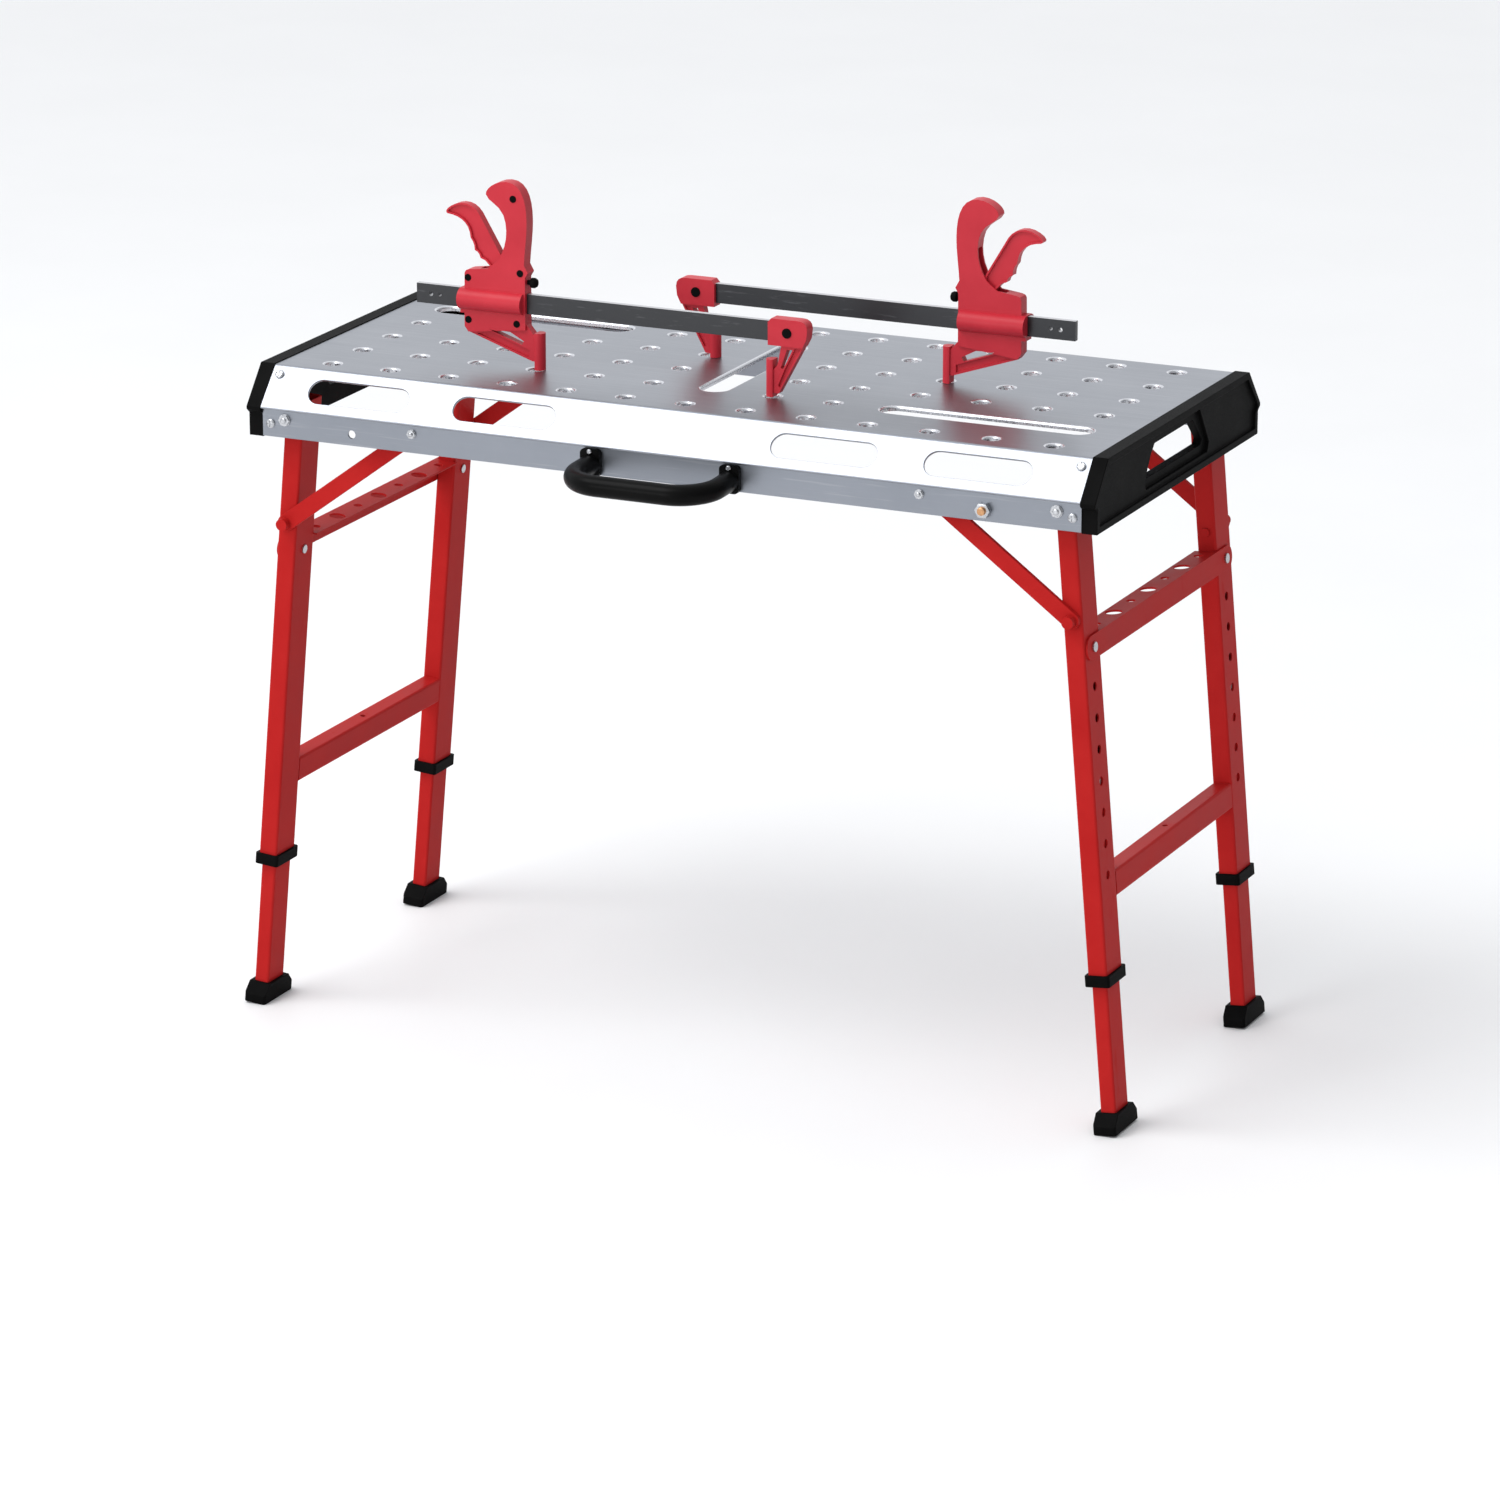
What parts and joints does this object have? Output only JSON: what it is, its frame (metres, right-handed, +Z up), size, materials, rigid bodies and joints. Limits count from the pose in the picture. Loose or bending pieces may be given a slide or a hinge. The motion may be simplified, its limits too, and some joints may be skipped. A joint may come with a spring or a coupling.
{
  "type": "folding welding table",
  "caption": "Folding steel welding table with a slotted, drilled work surface, telescoping splayed legs and two sliding bar clamps.",
  "frame": {"origin": "on the floor, under the middle of the whole footprint at rest", "axes": "+X along the table, +Y towards the rear edge away from the carry handle, +Z up"},
  "size_m": [0.9654, 0.5134, 0.8646],
  "materials": {
    "table_steel": "satin zinc-grey sheet steel with faint rolling lines",
    "bright_steel": "zinc-plated fasteners, lightly worn",
    "black_plastic": "fine-textured black moulded plastic",
    "black_grip": "smooth soft black grip",
    "leg_red": "semi-gloss red powder coat",
    "clamp_red": "satin red moulded nylon",
    "bar_steel": "black-oxide steel bar, satin",
    "earth_brass": "copper-coloured earth stud"
  },
  "bodies": {
    "table_top": {"top_plate": "table_steel", "front_rail": "table_steel", "rear_rail": "table_steel", "left_end_cap": "black_plastic", "right_end_cap": "black_plastic", "cap_screws": "bright_steel", "pivot_bolts": "bright_steel", "brace_guides": "bright_steel", "guide_bolts": "bright_steel", "ground_stud": "earth_brass", "carry_handle": "black_grip", "handle_screws": "bright_steel"},
    "left_leg_frame": {"left_front_leg": "leg_red", "left_rear_leg": "leg_red", "left_tool_rail": "leg_red", "left_cross_tube": "leg_red", "left_rail_rivets": "bright_steel", "left_leg_collars": "black_plastic", "left_brace_pins": "leg_red"},
    "right_leg_frame": {"right_front_leg": "leg_red", "right_rear_leg": "leg_red", "right_tool_rail": "leg_red", "right_cross_tube": "leg_red", "right_rail_rivets": "bright_steel", "right_leg_collars": "black_plastic", "right_brace_pins": "leg_red"},
    "left_front_brace_bar": {"left_front_brace": "leg_red"},
    "left_front_leg_extension": {"left_front_inner_leg": "leg_red", "left_front_foot": "black_plastic"},
    "left_front_spring_button": {"left_front_button": "bright_steel"},
    "left_rear_brace_bar": {"left_rear_brace": "leg_red"},
    "left_rear_leg_extension": {"left_rear_inner_leg": "leg_red", "left_rear_foot": "black_plastic"},
    "left_rear_spring_button": {"left_rear_button": "bright_steel"},
    "right_front_brace_bar": {"right_front_brace": "leg_red"},
    "right_front_leg_extension": {"right_front_inner_leg": "leg_red", "right_front_foot": "black_plastic"},
    "right_front_spring_button": {"right_front_button": "bright_steel"},
    "right_rear_brace_bar": {"right_rear_brace": "leg_red"},
    "right_rear_leg_extension": {"right_rear_inner_leg": "leg_red", "right_rear_foot": "black_plastic"},
    "right_rear_spring_button": {"right_rear_button": "bright_steel"},
    "front_clamp": {"front_clamp_bar": "bar_steel", "front_clamp_fixed_jaw": "clamp_red", "front_clamp_jaw_screw": "black_plastic"},
    "front_clamp_head": {"front_clamp_head_front": "clamp_red", "front_clamp_head_back": "clamp_red", "front_clamp_head_screws": "black_plastic"},
    "front_clamp_lever": {"front_clamp_trigger": "clamp_red"},
    "front_clamp_drive": {"front_clamp_drive_plate": "bright_steel"},
    "front_clamp_release": {"front_clamp_release_knob": "black_plastic"},
    "rear_clamp": {"rear_clamp_bar": "bar_steel", "rear_clamp_fixed_jaw": "clamp_red", "rear_clamp_jaw_screw": "black_plastic"},
    "rear_clamp_head": {"rear_clamp_head_front": "clamp_red", "rear_clamp_head_back": "clamp_red", "rear_clamp_head_screws": "black_plastic"},
    "rear_clamp_lever": {"rear_clamp_trigger": "clamp_red"},
    "rear_clamp_drive": {"rear_clamp_drive_plate": "bright_steel"},
    "rear_clamp_release": {"rear_clamp_release_knob": "black_plastic"}
  },
  "joints": [
    {"name": "left_fold", "type": "hinge", "parent": "table_top", "child": "left_leg_frame", "pos_m": [-0.416, 0.0373, 0.6267], "axis": [0, -1, 0], "range_deg": [0, 96.05]},
    {"name": "left_front_brace_turn", "type": "hinge", "parent": "left_leg_frame", "child": "left_front_brace_bar", "pos_m": [-0.42571, -0.1612, 0.51572], "axis": [0, 1, 0], "range_deg": [0, 133.2]},
    {"name": "left_front_leg_height", "type": "slide", "parent": "left_leg_frame", "child": "left_front_leg_extension", "axis": [0.0872, 0, 0.9962], "range_m": [-0.0945, 0.0945]},
    {"name": "left_front_button_press", "type": "slide", "parent": "left_front_leg_extension", "child": "left_front_spring_button", "axis": [0.9962, 0, -0.0872], "range_m": [0, 0.004], "stiffness_N_per_m": 400, "springref_m": -0.002},
    {"name": "left_rear_brace_turn", "type": "hinge", "parent": "left_leg_frame", "child": "left_rear_brace_bar", "pos_m": [-0.42571, 0.2358, 0.51572], "axis": [0, 1, 0], "range_deg": [0, 133.2]},
    {"name": "left_rear_leg_height", "type": "slide", "parent": "left_leg_frame", "child": "left_rear_leg_extension", "axis": [0.0872, 0, 0.9962], "range_m": [-0.0945, 0.0945]},
    {"name": "left_rear_button_press", "type": "slide", "parent": "left_rear_leg_extension", "child": "left_rear_spring_button", "axis": [0.9962, 0, -0.0872], "range_m": [0, 0.004], "stiffness_N_per_m": 400, "springref_m": -0.002},
    {"name": "right_fold", "type": "hinge", "parent": "table_top", "child": "right_leg_frame", "pos_m": [0.416, 0.0373, 0.6267], "axis": [0, 1, 0], "range_deg": [0, 92.55]},
    {"name": "right_front_brace_turn", "type": "hinge", "parent": "right_leg_frame", "child": "right_front_brace_bar", "pos_m": [0.42571, -0.1612, 0.51572], "axis": [0, -1, 0], "range_deg": [0, 132]},
    {"name": "right_front_leg_height", "type": "slide", "parent": "right_leg_frame", "child": "right_front_leg_extension", "axis": [-0.0872, 0, 0.9962], "range_m": [-0.0945, 0.0945]},
    {"name": "right_front_button_press", "type": "slide", "parent": "right_front_leg_extension", "child": "right_front_spring_button", "axis": [-0.9962, 0, -0.0872], "range_m": [0, 0.004], "stiffness_N_per_m": 400, "springref_m": -0.002},
    {"name": "right_rear_brace_turn", "type": "hinge", "parent": "right_leg_frame", "child": "right_rear_brace_bar", "pos_m": [0.42571, 0.2358, 0.51572], "axis": [0, -1, 0], "range_deg": [0, 132]},
    {"name": "right_rear_leg_height", "type": "slide", "parent": "right_leg_frame", "child": "right_rear_leg_extension", "axis": [-0.0872, 0, 0.9962], "range_m": [-0.0945, 0.0945]},
    {"name": "right_rear_button_press", "type": "slide", "parent": "right_rear_leg_extension", "child": "right_rear_spring_button", "axis": [-0.9962, 0, -0.0872], "range_m": [0, 0.004], "stiffness_N_per_m": 400, "springref_m": -0.002},
    {"name": "front_clamp_lift", "type": "slide", "parent": "table_top", "child": "front_clamp", "axis": [0, 0, 1], "range_m": [0, 0.12]},
    {"name": "front_clamp_head_slide", "type": "slide", "parent": "front_clamp", "child": "front_clamp_head", "axis": [1, 0, 0], "range_m": [-0.03, 0.2]},
    {"name": "front_clamp_squeeze", "type": "hinge", "parent": "front_clamp_head", "child": "front_clamp_lever", "pos_m": [-0.233, -0.0587, 0.7736], "axis": [0, 1, 0], "range_deg": [0, 18], "stiffness_Nm_per_rad": 0.6, "springref_deg": -5.73},
    {"name": "front_clamp_drive_stroke", "type": "slide", "parent": "front_clamp_head", "child": "front_clamp_drive", "axis": [-1, 0, 0], "range_m": [0, 0.004]},
    {"name": "front_clamp_release_press", "type": "slide", "parent": "front_clamp_head", "child": "front_clamp_release", "axis": [-1, 0, 0], "range_m": [0, 0.003], "stiffness_N_per_m": 400, "springref_m": -0.002},
    {"name": "rear_clamp_lift", "type": "slide", "parent": "table_top", "child": "rear_clamp", "axis": [0, 0, 1], "range_m": [0, 0.12]},
    {"name": "rear_clamp_head_slide", "type": "slide", "parent": "rear_clamp", "child": "rear_clamp_head", "axis": [-1, 0, 0], "range_m": [-0.03, 0.2]},
    {"name": "rear_clamp_squeeze", "type": "hinge", "parent": "rear_clamp_head", "child": "rear_clamp_lever", "pos_m": [0.243, 0.0633, 0.7736], "axis": [0, -1, 0], "range_deg": [0, 18], "stiffness_Nm_per_rad": 0.6, "springref_deg": -5.73},
    {"name": "rear_clamp_drive_stroke", "type": "slide", "parent": "rear_clamp_head", "child": "rear_clamp_drive", "axis": [1, 0, 0], "range_m": [0, 0.004]},
    {"name": "rear_clamp_release_press", "type": "slide", "parent": "rear_clamp_head", "child": "rear_clamp_release", "axis": [1, 0, 0], "range_m": [0, 0.003], "stiffness_N_per_m": 400, "springref_m": -0.002}
  ],
  "couplings": [
    {"joint": "left_front_brace_turn", "follows": "left_fold", "ratio": 1.3816},
    {"joint": "left_rear_brace_turn", "follows": "left_fold", "ratio": 1.3816},
    {"joint": "right_front_brace_turn", "follows": "right_fold", "ratio": 1.4208},
    {"joint": "right_rear_brace_turn", "follows": "right_fold", "ratio": 1.4208},
    {"joint": "front_clamp_drive_stroke", "follows": "front_clamp_squeeze", "m_per_rad": 0.012},
    {"joint": "rear_clamp_drive_stroke", "follows": "rear_clamp_squeeze", "m_per_rad": 0.012}
  ]
}
